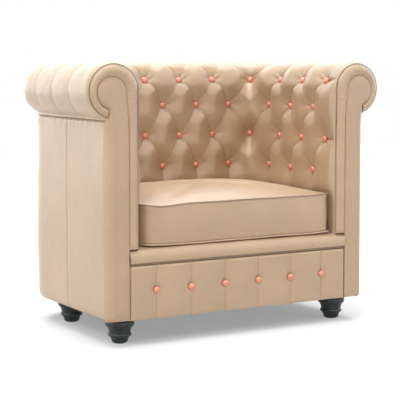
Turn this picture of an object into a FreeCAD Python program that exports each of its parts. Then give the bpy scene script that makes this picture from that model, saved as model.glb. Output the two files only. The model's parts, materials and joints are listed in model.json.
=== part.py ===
"""Upholstered tub armchair with rolled arms, a tufted inside, a loose seat cushion and turned feet.

Millimetres, +Z up, +X to the sitter's left, front of the chair towards -Y.
The origin is the centre of the bounding box in plan, on the floor.
A wall section is drawn in (u, z): u runs inward from the wall's outer face, z is the height.
"""
import os
import math
import FreeCAD
import Part
from FreeCAD import Placement, Rotation, Vector

# Overall body
HALF_WIDTH = 397.0        # centre plane to the outer face of an arm
FRONT_Y = -278.0          # front plane of the frame
BACK_Y = 252.0            # outer face of the back
BASE_Z = 66.0             # underside of the frame
TOP_Z = 720.0             # top of the rolls
CORNER_R = 120.0          # plan radius of the rear corners
CORNER_X = HALF_WIDTH - CORNER_R
CORNER_Y = BACK_Y - CORNER_R
GAP = 0.4                 # clearance beside a curved neighbour

# Wall section, all as u
SKIN = 8.0                # outside panel
RAIL_IN = 32.0            # inner face of the rails and corner posts
PLY_OUT = 48.0            # tufting board
PLY_IN = 54.0
WALL = 90.0               # padded inner face of an arm
BACK_WALL = 97.0          # padded inner face of the back

# Roll along the top of the walls
ARM_OVERHANG = 50.0
BACK_OVERHANG = 38.0
ROLL_TALL = 70.0          # half height of the roll
JOINT_Z = 575.0           # where the roll meets the outside panel
BOARD_Z = 625.0           # underside of the arm board
BOARD_TOP = 643.0
BOARD_OUT = -14.0

# Front
BOARD_THICK = 20.0        # arm front boards
RAIL_THICK = 24.0
RAIL_TOP = 206.0
FACING_IN = 61.0          # inner edge of the arm facing, as u
SHAFT_IN = 60.0           # inner edge of the arm front board, as u
HEAD_U = 14.0             # centre of the facing's round head
HEAD_Z = 646.0
HEAD_R = 41.0
FACING_BULGE = 12.0
BAND_BULGE = 7.0
APRON_BULGE = 8.0
PIPE_R = 2.2

# Seat
DECK_TOP = 248.0
DECK_UNDER = 214.0
SPRING_Z = 208.0
SPRING_X = [-220.0, -110.0, 0.0, 110.0, 220.0]
WIRE_R = 1.9

# Tufting: four rows of buttons, every second row shifted by half a column
ROW_Z = [677.0, 597.0, 508.0, 418.0]
ARM_ODD = [FRONT_Y + 61.0 + 114.5 * k for k in range(3)]
ARM_EVEN = [FRONT_Y + 118.2 + 114.5 * k for k in range(3)]
ARM_CORNER = FRONT_Y + 404.5
BACK_ODD = [-171.0, -57.0, 57.0, 171.0]
BACK_EVEN = [-228.0, -114.0, 0.0, 114.0, 228.0]
PLEAT_WIDE = 10.0
PLEAT_DEEP = 7.0
POCKET_DEEP = 12.0
BUTTON_R = 8.4
BUTTON_TALL = 7.0
BUTTON_DOME = 4.0
TWINE_R = 0.8
APRON_BUTTONS = [-258.5, -155.1, -51.7, 51.7, 155.1, 258.5]
APRON_BUTTON_Z = 139.6

# Cushion
CUSHION_HALF = 289.0
CUSHION_FRONT = -267.0
CUSHION_BACK = 146.0
CUSHION_CORNER = 30.0
CUSHION_EDGE_Z = 357.0
CROWN = [(0.0, 0.0), (9.0, 9.0), (30.0, 18.0), (75.0, 23.5), (125.0, 25.5)]   # inset, rise
COVER_THICK = 2.0
ZIP_HALF = 242.0
ZIP_Z = 302.0

# Feet
FOOT_TOP = 65.0
FOOT_POINTS = [(335.0, -222.0), (325.0, 97.0)]      # front and rear, x mirrored
GLIDE_R = 15.0
GLIDE_TALL = 2.0
BOLT_R = 4.0
BLOCK_HALF = 36.0
BLOCK_TOP = 106.0

X_AXIS = Vector(1, 0, 0)
Y_AXIS = Vector(0, 1, 0)
Z_AXIS = Vector(0, 0, 1)

os.makedirs("parts", exist_ok=True)


def save(name, shapes):
    """Write one node; a list becomes separate solids in one file."""
    solids = shapes if isinstance(shapes, list) else [shapes]
    shape = solids[0] if len(solids) == 1 else Part.makeCompound(solids)
    shape.exportStep("parts/" + name + ".step")


def mirrored(shape):
    return shape.mirror(Vector(0, 0, 0), X_AXIS)


def save_pair(name, left):
    """The shape built on the -X side is the sitter's right."""
    save(name + "_right", left)
    if isinstance(left, list):
        save(name + "_left", [mirrored(item) for item in left])
    else:
        save(name + "_left", mirrored(left))


def box(x0, x1, y0, y1, z0, z1):
    return Part.makeBox(x1 - x0, y1 - y0, z1 - z0, Vector(x0, y0, z0))


def at(u, z, y=0.0):
    """A wall section point on the -X arm."""
    return Vector(-HALF_WIDTH + u, y, z)


def face_of(edges):
    return Part.Face(Part.Wire(edges))


def polygon(points):
    return Part.Face(Part.makePolygon(points + [points[0]]))


def rect_section(u0, u1, z0, z1):
    return polygon([at(u0, z0), at(u1, z0), at(u1, z1), at(u0, z1)])


def arm_run(section, y0=FRONT_Y, y1=CORNER_Y):
    """Extrude a section along the arm."""
    start = section.translated(Vector(0, y0, 0))
    return start.extrude(Vector(0, y1 - y0, 0))


def turned(section, degrees):
    """A section turned round the rear corner's axis."""
    copy = section.translated(Vector(0, CORNER_Y, 0))
    copy.rotate(Vector(-CORNER_X, CORNER_Y, 0), Z_AXIS, -degrees)
    return copy


def corner_run(section, start=0.0, sweep=90.0):
    return turned(section, start).revolve(Vector(-CORNER_X, CORNER_Y, 0), Z_AXIS, -sweep)


def back_run(section):
    return turned(section, 90.0).extrude(Vector(2 * CORNER_X, 0, 0))


def one_solid(shapes):
    """Fuse shapes that meet face to face."""
    joined = shapes[0].multiFuse(shapes[1:]).removeSplitter()
    return joined.Solids[0]


def roll_shape(overhang, wall=WALL):
    """Centre u, centre z and half width of the roll."""
    half_wide = (wall + overhang) / 2
    return wall - half_wide, TOP_Z - ROLL_TALL, half_wide


def roll_section(overhang, wall=WALL):
    """Outline of the roll with the straight inner face below it, down to the tufting board's top."""
    cu, cz, half_wide = roll_shape(overhang, wall)
    low = math.pi + math.acos(cu / half_wide)
    steps = 16
    curve = []
    for k in range(steps + 1):
        a = low * (1 - k / steps)
        curve.append(at(cu + half_wide * math.cos(a), cz + ROLL_TALL * math.sin(a)))
    spline = Part.BSplineCurve()
    spline.interpolate(curve)
    points = [at(wall, cz), at(wall, BOARD_Z), at(PLY_IN, BOARD_Z), at(PLY_IN, BOARD_Z + 1)]
    points += [at(SKIN, BOARD_Z + 1), at(SKIN, JOINT_Z), at(0, JOINT_Z), curve[0]]
    lines = [Part.makeLine(a, b) for a, b in zip(points, points[1:])]
    return Part.Wire([spline.toShape()] + lines)


def board_section(gap=0.0):
    return rect_section(BOARD_OUT - gap, PLY_IN + gap, BOARD_Z - 2 * gap, BOARD_TOP)


def arm_roll():
    """The overhang eases from the front of the arm to the corner."""
    front = roll_section(ARM_OVERHANG).translated(Vector(0, FRONT_Y, 0))
    rear = roll_section(BACK_OVERHANG).translated(Vector(0, CORNER_Y, 0))
    return Part.makeLoft([front, rear], True, True)


def corner_loft(wire_of_wall, start, steps):
    """A wire carried round to the back; past 45 degrees the wall grows to the back's thickness."""
    wires = []
    for k in range(steps + 1):
        degrees = start + (90.0 - start) * k / steps
        wall = WALL + (BACK_WALL - WALL) * max(0.0, degrees / 45.0 - 1.0)
        wires.append(turned(wire_of_wall(wall), degrees))
    return Part.makeLoft(wires, True, False)


def pad_wire(wall):
    return rect_section(PLY_IN, wall, DECK_TOP, BOARD_Z).OuterWire


# Tufting tools ----------------------------------------------------------

def pleat(start, end, normal, wide=PLEAT_WIDE, deep=PLEAT_DEEP):
    """A V groove between two points of a flat padded face."""
    along = end - start
    across = along.cross(normal).normalize()
    lift = normal * 1.5
    points = [start + across * (wide / 2) + lift, start - across * (wide / 2) + lift, start - normal * deep]
    return polygon(points).extrude(along)


def pocket(point, normal):
    floor = point - normal * POCKET_DEEP
    return Part.makeCone(9.6, 18.0, POCKET_DEEP + 1.0, floor, normal)


def twine_hole(point, normal, length):
    return Part.makeCylinder(TWINE_R + GAP, length, point - normal * length, normal)


def twine(point, normal, length):
    return Part.makeCylinder(TWINE_R, length - POCKET_DEEP, point - normal * length, normal)


def button(point, normal):
    """A domed button sitting at the bottom of its pocket."""
    dome_r = (BUTTON_R ** 2 + BUTTON_DOME ** 2) / (2 * BUTTON_DOME)
    ball = Part.makeSphere(dome_r, Vector(0, 0, BUTTON_TALL - dome_r))
    body = ball.common(Part.makeCylinder(BUTTON_R, BUTTON_TALL + 1.0)).Solids[0]
    base = point - normal * (POCKET_DEEP - 0.4)
    body.Placement = Placement(base, Rotation(Z_AXIS, normal))
    return body


def lattice(odd, even):
    """Diagonals between neighbouring buttons, as ((s, z), (s, z)) from the upper row down."""
    found = []
    for row in range(3):
        upper = odd if row % 2 == 0 else even
        lower = even if row % 2 == 0 else odd
        for a in upper:
            for b in lower:
                if abs(a - b) < 60.0:
                    found.append(((a, ROW_Z[row]), (b, ROW_Z[row + 1])))
    return found


def flat_pleats(odd, even, place, normal, flat_top):
    """Grooves of one wall: diagonals, then straight pleats below the last row."""
    tools = []
    for (s0, z0), (s1, z1) in lattice(odd, even):
        if z0 > flat_top:
            part = (flat_top - z1) / (z0 - z1)
            s0, z0 = s1 + (s0 - s1) * part, flat_top
        tools.append(pleat(place(s0, z0), place(s1, z1), normal))
    for s in even:
        tools.append(pleat(place(s, ROW_Z[3]), place(s, DECK_TOP), normal))
    return tools


def roll_seam(point, axis):
    """A V groove from the top of a roll round its outer side."""
    top = point + Z_AXIS * ROLL_TALL
    face = polygon([top + axis * 2.0 + Z_AXIS, top - axis * 2.0 + Z_AXIS, top - Z_AXIS * 3.0])
    return face.revolve(point, axis, -140)


class Tuft:
    """One button position: surface point, outward normal and twine length."""

    def __init__(self, point, normal, length=WALL - PLY_IN - 0.6):
        self.point = point
        self.normal = normal
        self.length = length


def roll_point(overhang, wall=WALL):
    """u, angle and twine length of a top row button."""
    cu, cz, half_wide = roll_shape(overhang, wall)
    angle = math.asin((ROW_Z[0] - cz) / ROLL_TALL)
    length = (ROW_Z[0] - BOARD_TOP) / math.sin(angle) - 1.0
    return cu + half_wide * math.cos(angle), angle, length


def arm_tufts():
    u, angle, length = roll_point(BACK_OVERHANG)
    tilt = Vector(math.cos(angle), 0, math.sin(angle))
    top = [Tuft(at(u, ROW_Z[0], y), tilt, length) for y in ARM_ODD]
    flat = []
    for row in (1, 2, 3):
        for y in (ARM_ODD if row == 2 else ARM_EVEN):
            flat.append(Tuft(at(WALL, ROW_Z[row], y), X_AXIS))
    return top, flat


def back_tufts():
    u, angle, length = roll_point(BACK_OVERHANG, BACK_WALL)
    tilt = Vector(0, -math.cos(angle), math.sin(angle))
    top = [Tuft(Vector(x, BACK_Y - u, ROW_Z[0]), tilt, length) for x in BACK_ODD]
    flat = []
    for row in (1, 2, 3):
        for x in (BACK_ODD if row == 2 else BACK_EVEN):
            place = Vector(x, BACK_Y - BACK_WALL, ROW_Z[row])
            flat.append(Tuft(place, Vector(0, -1, 0), BACK_WALL - PLY_IN - 0.6))
    return top, flat


def sink(shape, tufts, extra):
    """Cut the pockets, twine holes and grooves from a pad."""
    tools = list(extra)
    for tuft in tufts:
        tools.append(pocket(tuft.point, tuft.normal))
        tools.append(twine_hole(tuft.point, tuft.normal, tuft.length + 3.0))
    return shape.cut(tools).Solids[0]


# Frame ------------------------------------------------------------------

def build_frame():
    rail_in_x = HALF_WIDTH - SHAFT_IN
    save("front_rail", box(-rail_in_x, rail_in_x, FRONT_Y, FRONT_Y + RAIL_THICK, BASE_Z, RAIL_TOP))
    save_pair("side_rail", arm_run(rect_section(SKIN, RAIL_IN, BASE_Z, 166.0), FRONT_Y + BOARD_THICK, CORNER_Y))
    save("back_rail", back_run(rect_section(SKIN, RAIL_IN, BASE_Z, RAIL_TOP)))
    save_pair("corner_post", corner_run(rect_section(SKIN + GAP, RAIL_IN, BASE_Z, BOARD_Z)))

    arm_post = arm_run(rect_section(SKIN, PLY_OUT, 166.0, BOARD_Z), -60.0, -20.0)
    save("arm_posts", [arm_post, mirrored(arm_post)])
    back_post = box(-181.0, -149.0, BACK_Y - PLY_OUT, BACK_Y - SKIN, RAIL_TOP, BOARD_Z)
    save("back_posts", [back_post, mirrored(back_post)])

    arm_board = one_solid([
        arm_run(board_section(), FRONT_Y + BOARD_THICK, CORNER_Y),
        corner_run(rect_section(BOARD_OUT + 5.0, PLY_IN - GAP, BOARD_Z, BOARD_TOP)),
    ])
    save_pair("arm_board", arm_board)
    save("back_board", back_run(rect_section(BOARD_OUT + 5.0, PLY_IN, BOARD_Z, BOARD_TOP)))

    tuft_board = one_solid([
        arm_run(rect_section(PLY_OUT, PLY_IN, DECK_UNDER, BOARD_Z), FRONT_Y + BOARD_THICK, CORNER_Y),
        corner_run(rect_section(PLY_OUT, PLY_IN - GAP, DECK_UNDER, BOARD_Z)),
    ])
    save_pair("tufting_board_arm", tuft_board)
    save("tufting_board_back", back_run(rect_section(PLY_OUT, PLY_IN, DECK_UNDER, BOARD_Z)))
    save_pair("arm_front_board", front_board(0.0))


def front_board(gap):
    """Upright board at the front of an arm: shaft, wider upper part and round head."""
    cu, cz = roll_shape(ARM_OVERHANG)[:2]
    y1 = FRONT_Y + BOARD_THICK
    low = arm_run(rect_section(SKIN, SHAFT_IN, BASE_Z, DECK_TOP), FRONT_Y, y1)
    high = arm_run(rect_section(SKIN, 78.0 + gap, DECK_TOP, cz), FRONT_Y, y1)
    head = Part.makeCylinder(56.0 + gap, BOARD_THICK, at(cu, cz, FRONT_Y), Y_AXIS)
    return one_solid([low, high, head])


# Upholstery -------------------------------------------------------------

def build_walls():
    pad = Part.Face(pad_wire(WALL))
    board_cut = front_board(GAP)
    arm_top, arm_flat = arm_tufts()
    back_top, back_flat = back_tufts()
    back_cu, roll_z = roll_shape(BACK_OVERHANG, BACK_WALL)[:2]

    arm_pleats = flat_pleats(
        ARM_ODD + [ARM_CORNER], ARM_EVEN, lambda s, z: at(WALL, z, s), X_AXIS, roll_z)
    arm_pleats.append(pleat(at(WALL, ROW_Z[2], FRONT_Y), at(WALL, ROW_Z[2], ARM_ODD[0]), X_AXIS))
    back_pleats = flat_pleats(
        BACK_ODD, BACK_EVEN, lambda s, z: Vector(s, BACK_Y - BACK_WALL, z),
        Vector(0, -1, 0), roll_z)

    mid = turned(rect_section(WALL, WALL + 1, DECK_TOP, BOARD_Z), 45.0).CenterOfMass
    out = Vector(-CORNER_X - mid.x, CORNER_Y - mid.y, 0).normalize()
    corner_point = Vector(-CORNER_X, CORNER_Y, ROW_Z[2]) - out * (CORNER_R - WALL)
    corner_tuft = Tuft(corner_point, out)

    half_corner = corner_run(pad, 0.0, 45.0)
    arm_pad = one_solid([arm_run(pad), half_corner]).cut(board_cut)
    save_pair("tufted_pad_arm", sink(arm_pad, arm_flat + [corner_tuft], arm_pleats))
    far_corner = corner_loft(pad_wire, 45.0, 4)
    mirrored_tuft = Tuft(Vector(-corner_point.x, corner_point.y, corner_point.z), Vector(-out.x, out.y, 0))
    back_pad = one_solid([far_corner, back_run(Part.Face(pad_wire(BACK_WALL))), mirrored(far_corner)])
    save("tufted_pad_back", sink(back_pad, back_flat + [corner_tuft, mirrored_tuft], back_pleats))

    arm_seams = []
    for y in ARM_EVEN:
        ease = (y - FRONT_Y) / (CORNER_Y - FRONT_Y)
        cu, cz, half_wide = roll_shape(ARM_OVERHANG + (BACK_OVERHANG - ARM_OVERHANG) * ease)
        arm_seams.append(roll_seam(at(cu, cz, y), Y_AXIS))
    roll = arm_roll().cut([board_cut, arm_run(board_section(GAP / 2))])
    save_pair("roll_arm", sink(roll, arm_top, arm_pleats + arm_seams))
    back_seams = [roll_seam(Vector(x, BACK_Y - back_cu, roll_z), X_AXIS) for x in BACK_EVEN]
    back_roll = back_run(Part.Face(roll_section(BACK_OVERHANG, BACK_WALL))).cut(back_run(board_section(GAP / 2)))
    save("roll_back", sink(back_roll, back_top, back_pleats + back_seams))
    turn = corner_loft(lambda wall: roll_section(BACK_OVERHANG, wall), 0.0, 8)
    save_pair("roll_corner", turn.cut(corner_run(board_section(GAP))).Solids[0])

    skin = rect_section(0.0, SKIN, BASE_Z, JOINT_Z)
    seam = pleat(at(0, BASE_Z, FRONT_Y + 238.0), at(0, JOINT_Z, FRONT_Y + 238.0), -X_AXIS, 3.0, 2.0)
    side = one_solid([arm_run(skin), corner_run(skin)]).cut(seam)
    save_pair("outside_panel_arm", side.Solids[0])
    save("outside_panel_back", back_run(skin))

    arm_tufted = arm_top + arm_flat
    arm_buttons = [button(t.point, t.normal) for t in arm_tufted]
    corner_button = button(corner_tuft.point, corner_tuft.normal)
    save_pair("buttons_arm", arm_buttons + [corner_button])
    save("buttons_back", [button(t.point, t.normal) for t in back_top + back_flat])
    cords = [twine(t.point, t.normal, t.length) for t in arm_tufted + [corner_tuft]]
    cords += [mirrored(cord) for cord in cords]
    cords += [twine(t.point, t.normal, t.length) for t in back_top + back_flat]
    save("tufting_twine", cords)


def facing_outline(gap):
    """Keyhole panel on the front of an arm, in the section plane."""
    radius = HEAD_R + gap
    neck_z = HEAD_Z - math.sqrt(radius ** 2 - (HEAD_U + gap) ** 2)
    inner = FACING_IN + gap
    side_z = 560.0
    head = [
        Part.makeLine(at(inner, side_z), at(HEAD_U + radius, HEAD_Z)),
        Part.Arc(at(HEAD_U + radius, HEAD_Z), at(HEAD_U, HEAD_Z + radius), at(HEAD_U - radius, HEAD_Z)).toShape(),
        Part.Arc(
            at(HEAD_U - radius, HEAD_Z),
            at(HEAD_U - radius * math.cos(0.7), HEAD_Z - radius * math.sin(0.7)),
            at(-gap, neck_z)).toShape(),
        Part.makeLine(at(-gap, neck_z), at(-gap, BASE_Z)),
        Part.makeLine(at(-gap, BASE_Z), at(inner, BASE_Z)),
        Part.makeLine(at(inner, BASE_Z), at(inner, side_z)),
    ]
    return face_of(head)


def rounded_front(shape, front, radius):
    """Round the edges that lie in the front plane."""
    edges = [e for e in shape.Edges if abs(e.BoundBox.YMin - front) < 0.01 and abs(e.BoundBox.YMax - front) < 0.01]
    return shape.makeFillet(radius, edges)


def build_front():
    cu, cz, radius = roll_shape(ARM_OVERHANG)
    panel = arm_run(facing_outline(0.0), FRONT_Y - FACING_BULGE, FRONT_Y)
    save_pair("facing_panel", rounded_front(panel, FRONT_Y - FACING_BULGE, 5.0))

    edge = 2 * PIPE_R + 0.6
    front = FRONT_Y - BAND_BULGE
    disc = Part.makeCylinder(radius - edge, BAND_BULGE, at(cu, cz, front), Y_AXIS)
    strip = arm_run(rect_section(40.0, WALL - edge, DECK_TOP, cz), front, FRONT_Y)
    hole = arm_run(facing_outline(0.8), front - 1.0, FRONT_Y + 1.0)
    band = disc.fuse(strip).removeSplitter().cut(hole)
    outer = box(-HALF_WIDTH - 100.0, -HALF_WIDTH + 1.0, front - 1.0, FRONT_Y + 1.0, 0.0, cz - 60.0)
    band = max(band.cut(outer).Solids, key=lambda item: item.Volume)
    save_pair("facing_band", rounded_front(band, front, 2.5))

    pipe_y = FRONT_Y - PIPE_R - 0.1
    reach = radius - PIPE_R - 0.2
    low_angle = math.radians(249.0)
    arc = Part.Arc(
        at(cu + reach * math.cos(low_angle), cz + reach * math.sin(low_angle), pipe_y),
        at(cu - reach * math.cos(0.3), cz + reach * math.sin(0.3), pipe_y),
        at(cu + reach, cz, pipe_y)).toShape()
    spine = Part.Wire([arc, Part.makeLine(at(cu + reach, cz, pipe_y), at(cu + reach, DECK_TOP + 1, pipe_y))])
    ring = Part.Wire(Part.makeCircle(PIPE_R, at(cu + reach, DECK_TOP + 1, pipe_y), Z_AXIS))
    save_pair("facing_piping", spine.makePipeShell([ring], True, False))

    half = HALF_WIDTH - FACING_IN - 0.8
    apron = box(-half, half, FRONT_Y - APRON_BULGE, FRONT_Y, BASE_Z, RAIL_TOP)
    apron = rounded_front(apron, FRONT_Y - APRON_BULGE, 4.0)
    cuts = []
    face_y = FRONT_Y - APRON_BULGE
    for x in APRON_BUTTONS:
        cuts.append(pleat(Vector(x, face_y, BASE_Z), Vector(x, face_y, RAIL_TOP), -Y_AXIS, 6.0, 3.0))
        cuts.append(Part.makeCone(9.2, 13.0, 5.0, Vector(x, face_y + 4.0, APRON_BUTTON_Z), -Y_AXIS))
    save("apron", apron.cut(cuts).Solids[0])
    shift = Vector(0, 4.0 - POCKET_DEEP, 0)
    save("buttons_apron", [
        button(Vector(x, face_y, APRON_BUTTON_Z) + shift, -Y_AXIS) for x in APRON_BUTTONS])

    pipe_z = RAIL_TOP + PIPE_R + 0.3
    save("rail_piping", Part.makeCylinder(PIPE_R, 2 * half, Vector(-half, face_y + 3.0, pipe_z), X_AXIS))
    lip_z = RAIL_TOP + 2 * PIPE_R + 0.6
    nose = 12.0
    points = [
        (FRONT_Y, lip_z), (FRONT_Y, RAIL_TOP), (FRONT_Y + 8.0, RAIL_TOP), (FRONT_Y + 8.0, DECK_UNDER),
        (FRONT_Y + RAIL_THICK, DECK_UNDER), (FRONT_Y + RAIL_THICK, DECK_TOP), (face_y + nose, DECK_TOP)]
    corners = [Vector(-half, y, z) for y, z in points]
    lines = [Part.makeLine(a, b) for a, b in zip(corners, corners[1:])]
    bend = Vector(-half, face_y + nose * (1 - math.sqrt(0.5)), DECK_TOP - nose * (1 - math.sqrt(0.5)))
    tip = Vector(-half, face_y, DECK_TOP - nose)
    lines.append(Part.Arc(corners[-1], bend, tip).toShape())
    lines.append(Part.makeLine(tip, Vector(-half, face_y, lip_z)))
    lines.append(Part.makeLine(Vector(-half, face_y, lip_z), corners[0]))
    save("rail_lip", face_of(lines).extrude(Vector(2 * half, 0, 0)))


# Seat -------------------------------------------------------------------

def rounded_plan(half, y0, y1, z, front_r, back_r):
    """A closed outline with rounded front and back corners."""
    def corner(cx, cy, radius, start):
        points = []
        for degrees in (start, start + 45.0, start + 90.0):
            a = math.radians(degrees)
            points.append(Vector(cx + radius * math.cos(a), cy + radius * math.sin(a), z))
        return points

    arcs = [corner(half - back_r, y1 - back_r, back_r, 0.0), corner(-half + back_r, y1 - back_r, back_r, 90.0)]
    if front_r > 0:
        arcs.append(corner(-half + front_r, y0 + front_r, front_r, 180.0))
        arcs.append(corner(half - front_r, y0 + front_r, front_r, 270.0))
    edges = []
    start = arcs[0][0]
    for k, points in enumerate(arcs):
        edges.append(Part.Arc(points[0], points[1], points[2]).toShape())
        if k + 1 < len(arcs):
            edges.append(Part.makeLine(points[2], arcs[k + 1][0]))
    if front_r > 0:
        edges.append(Part.makeLine(arcs[-1][2], start))
    else:
        left = Vector(-half, y0, z)
        right = Vector(half, y0, z)
        edges += [Part.makeLine(arcs[-1][2], left), Part.makeLine(left, right), Part.makeLine(right, start)]
    return Part.Wire(edges)


def sheet(half, y0, y1, z0, z1, back_r):
    return Part.Face(rounded_plan(half, y0, y1, z0, 0.0, back_r)).extrude(Vector(0, 0, z1 - z0))


def zigzag_spring(x):
    """A flat serpentine wire from the front rail to the back rail."""
    y0 = FRONT_Y + 16.0
    y1 = BACK_Y - 20.0
    turns = 18
    pitch = (y1 - y0) / turns
    half = 22.0
    bend = pitch / 2
    edges = []
    side = 1
    for k in range(turns + 1):
        y = y0 + pitch * k
        a = Vector(x - side * half, y, SPRING_Z)
        b = Vector(x + side * half, y, SPRING_Z)
        edges.append(Part.makeLine(a, b))
        if k < turns:
            c = Vector(x + side * (half + bend), y + bend, SPRING_Z)
            d = Vector(x + side * half, y + pitch, SPRING_Z)
            edges.append(Part.Arc(b, c, d).toShape())
        side = -side
    spine = Part.Wire(edges)
    ring = Part.Wire(Part.makeCircle(WIRE_R, Vector(x - half, y0, SPRING_Z), X_AXIS))
    return spine.makePipeShell([ring], True, False)


def spring_clip(x, y):
    body = box(x - 8.0, x + 8.0, y - 6.0, y + 6.0, RAIL_TOP, 211.6)
    tunnel = box(x - 9.0, x + 9.0, y - 2.6, y + 2.6, RAIL_TOP - 1.0, SPRING_Z + WIRE_R + 0.3)
    return body.cut(tunnel)


def build_seat():
    save("seat_springs", [zigzag_spring(x) for x in SPRING_X])
    clips = [spring_clip(x, y) for x in SPRING_X for y in (FRONT_Y + 16.0, BACK_Y - 20.0)]
    save("spring_clips", clips)
    half = HALF_WIDTH - PLY_IN - GAP
    back = BACK_Y - PLY_IN - GAP
    radius = CORNER_R - PLY_IN - GAP
    front = FRONT_Y + RAIL_THICK
    save("spring_cover", sheet(half, front, back, DECK_UNDER - 2.0, DECK_UNDER, radius))
    save("deck_pad", sheet(half, front, back, DECK_UNDER, DECK_TOP, radius))

    cover = sheet(HALF_WIDTH - 10.0, FRONT_Y + 2.0, BACK_Y - 10.0, FOOT_TOP, BASE_Z, CORNER_R - 10.0)
    holes = [Part.makeCylinder(BOLT_R + 1.0, 4.0, Vector(x, y, FOOT_TOP - 2.0)) for x, y in foot_centres()]
    save("dust_cover", cover.cut(holes))


# Cushion ----------------------------------------------------------------

def cushion_body(inset, z0, drop):
    """Box with rounded corners under a crowned top."""
    def outline(extra, z):
        return rounded_plan(
            CUSHION_HALF - inset - extra, CUSHION_FRONT + inset + extra, CUSHION_BACK - inset - extra, z,
            CUSHION_CORNER - inset, CUSHION_CORNER - inset)

    edge = CUSHION_EDGE_Z - drop
    wall = Part.Face(outline(0.0, z0)).extrude(Vector(0, 0, edge - z0))
    crown = Part.makeLoft([outline(extra, edge + rise) for extra, rise in CROWN], True, False)
    return one_solid([wall, crown])


def cushion_piping(z):
    off = PIPE_R + 0.2
    radius = CUSHION_CORNER + off
    spine = rounded_plan(CUSHION_HALF + off, CUSHION_FRONT - off, CUSHION_BACK + off, z, radius, radius)
    start = Vector(CUSHION_HALF + off, CUSHION_BACK - CUSHION_CORNER, z)
    ring = Part.Wire(Part.makeCircle(PIPE_R, start, Y_AXIS))
    return spine.makePipeShell([ring], True, False)


def build_cushion():
    outer = cushion_body(0.0, DECK_TOP, 0.0)
    hollow = cushion_body(COVER_THICK, DECK_TOP + COVER_THICK, COVER_THICK)
    save("cushion_cover", outer.cut(hollow))
    save("cushion_core", cushion_body(COVER_THICK + GAP, DECK_TOP + COVER_THICK, COVER_THICK + GAP))
    save("cushion_piping", [cushion_piping(DECK_TOP + PIPE_R + 1.0), cushion_piping(CUSHION_EDGE_Z)])

    tape_y = CUSHION_BACK
    teeth_y = tape_y + 1.2
    tape = box(-ZIP_HALF - 8.0, ZIP_HALF + 8.0, tape_y, teeth_y, ZIP_Z - 13.0, ZIP_Z + 13.0)
    teeth = box(-ZIP_HALF, ZIP_HALF, teeth_y, teeth_y + 1.6, ZIP_Z - 2.5, ZIP_Z + 2.5)
    save("zip_tape", one_solid([tape, teeth]))

    slider_y = teeth_y + 1.6 + 0.3
    x = ZIP_HALF - 12.0
    slider = box(x - 6.0, x + 6.0, slider_y, slider_y + 3.0, ZIP_Z - 5.5, ZIP_Z + 5.5)
    slider = slider.makeFillet(1.0, [e for e in slider.Edges if abs(e.BoundBox.YLength) > 2.9])
    bail = box(x - 2.0, x + 2.0, slider_y + 3.0, slider_y + 5.0, ZIP_Z - 3.0, ZIP_Z + 3.0)
    save("zip_slider", one_solid([slider, bail]))
    tab = box(x - 4.0, x + 4.0, slider_y + 3.4, slider_y + 4.6, ZIP_Z - 30.0, ZIP_Z - 3.4)
    tab = tab.makeFillet(3.0, [e for e in tab.Edges if abs(e.BoundBox.YLength) > 1.1 and e.BoundBox.ZMax < ZIP_Z - 20])
    save("zip_pull", tab)


# Feet -------------------------------------------------------------------

def foot_centres():
    return [(side * x, y) for x, y in FOOT_POINTS for side in (-1, 1)]


def turned_foot():
    """Tapered toe, bead, cove and wide flange."""
    def p(radius, z):
        return Vector(radius, 0, z)

    edges = [
        Part.makeLine(p(0, GLIDE_TALL), p(18.0, GLIDE_TALL)),
        Part.Arc(p(18.0, GLIDE_TALL), p(20.0, 2.8), p(20.8, 4.8)).toShape(),
        Part.makeLine(p(20.8, 4.8), p(25.0, 17.0)),
        Part.Arc(p(25.0, 17.0), p(30.6, 22.0), p(28.0, 27.5)).toShape(),
        Part.Arc(p(28.0, 27.5), p(30.5, 38.5), p(36.5, 46.0)).toShape(),
        Part.Arc(p(36.5, 46.0), p(38.2, 53.5), p(35.5, 61.0)).toShape(),
        Part.makeLine(p(35.5, 61.0), p(34.5, FOOT_TOP)),
        Part.makeLine(p(34.5, FOOT_TOP), p(0, FOOT_TOP)),
        Part.makeLine(p(0, FOOT_TOP), p(0, GLIDE_TALL)),
    ]
    body = face_of(edges).revolve(Vector(0, 0, 0), Z_AXIS, 360)
    return body.cut(Part.makeCylinder(BOLT_R + 0.2, 40.0, Vector(0, 0, 30.0)))


def build_feet():
    names = ["foot_front_right", "foot_front_left", "foot_rear_right", "foot_rear_left"]
    blocks, bolts, nuts, glides = [], [], [], []
    for name, (x, y) in zip(names, foot_centres()):
        here = Vector(x, y, 0)
        save(name, turned_foot().translated(here))
        glides.append(Part.makeCylinder(GLIDE_R, GLIDE_TALL, here))
        bolts.append(Part.makeCylinder(BOLT_R, 74.0, here + Z_AXIS * 31.0))
        block = box(x - BLOCK_HALF, x + BLOCK_HALF, y - 32.0, y + BLOCK_HALF - 2.0, BASE_Z, BLOCK_TOP)
        block = block.common(box(-HALF_WIDTH + RAIL_IN, HALF_WIDTH - RAIL_IN, -300.0, 300.0, 0.0, 200.0))
        blocks.append(block.cut(Part.makeCylinder(5.4, 60.0, here + Z_AXIS * 60.0)))
        nut = Part.makeCylinder(5.2, 14.0, here + Z_AXIS * (BLOCK_TOP - 14.0))
        nut = nut.fuse(Part.makeCylinder(10.0, 1.6, here + Z_AXIS * BLOCK_TOP))
        nuts.append(nut.cut(Part.makeCylinder(BOLT_R + 0.2, 30.0, here + Z_AXIS * 85.0)).removeSplitter())
    save("foot_blocks", blocks)
    save("foot_bolts", bolts)
    save("foot_nuts", nuts)
    save("foot_glides", glides)


build_frame()
build_walls()
build_front()
build_seat()
build_cushion()
build_feet()
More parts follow.
